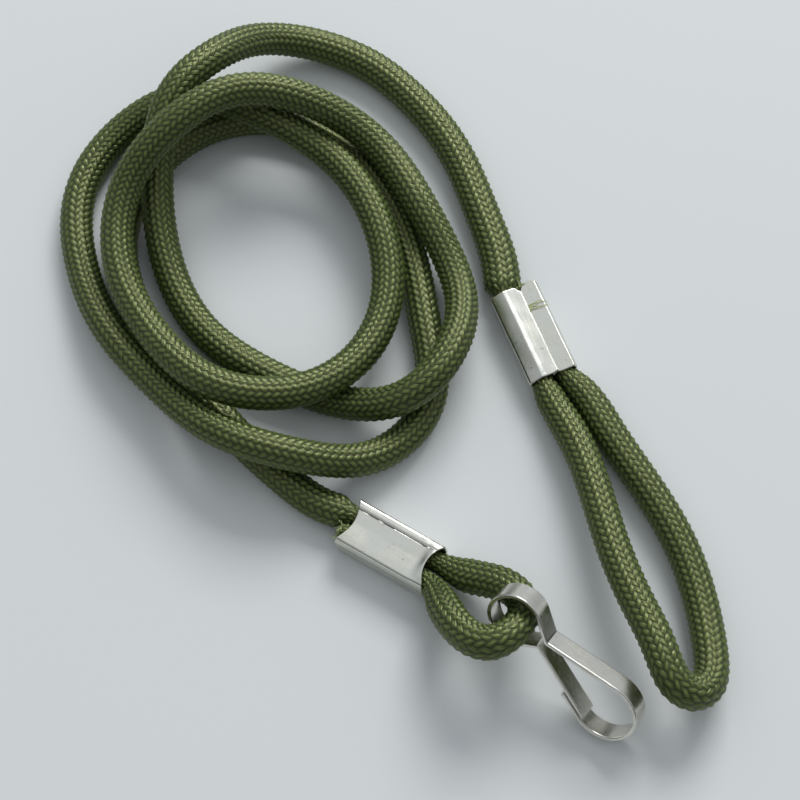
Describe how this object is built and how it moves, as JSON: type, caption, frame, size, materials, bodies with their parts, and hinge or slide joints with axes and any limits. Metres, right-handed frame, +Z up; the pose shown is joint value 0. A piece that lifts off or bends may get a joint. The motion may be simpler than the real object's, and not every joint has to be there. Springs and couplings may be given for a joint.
{
  "type": "lanyard",
  "caption": "Coiled braided-cord lanyard: a crimped hand loop at one end, a crimped short loop with a flat spring hook at the other.",
  "frame": {"origin": "centre of the lanyard's box on the surface that it lies on", "axes": "+Z up from the surface, +Y from the hand loop towards the far side of the coil, +X towards the hand loop's side"},
  "size_m": [0.1136, 0.1326, 0.0215],
  "materials": {
    "braid": "satin",
    "core": "matte",
    "ferrule": "polished",
    "hook": "polished"
  },
  "bodies": {
    "lanyard": {"cord_sheath": "braid", "cord_core": "core", "hand_loop_ferrule": "ferrule", "hook_loop_ferrule": "ferrule"},
    "hook": {"hook_frame": "hook"},
    "gate": {"hook_gate": "hook"}
  },
  "joints": [
    {"name": "hook_swing", "type": "hinge", "parent": "lanyard", "child": "hook", "pos_m": [0.0225, -0.0475, 0.0113], "axis": [-0.4732, -0.7123, 0.5183], "range_deg": [0, 110]},
    {"name": "gate_flex", "type": "hinge", "parent": "hook", "child": "gate", "pos_m": [0.02632, -0.05139, 0.00945], "axis": [-0.4732, -0.7123, 0.5183], "range_deg": [0, 15], "stiffness_Nm_per_rad": 0.2}
  ]
}
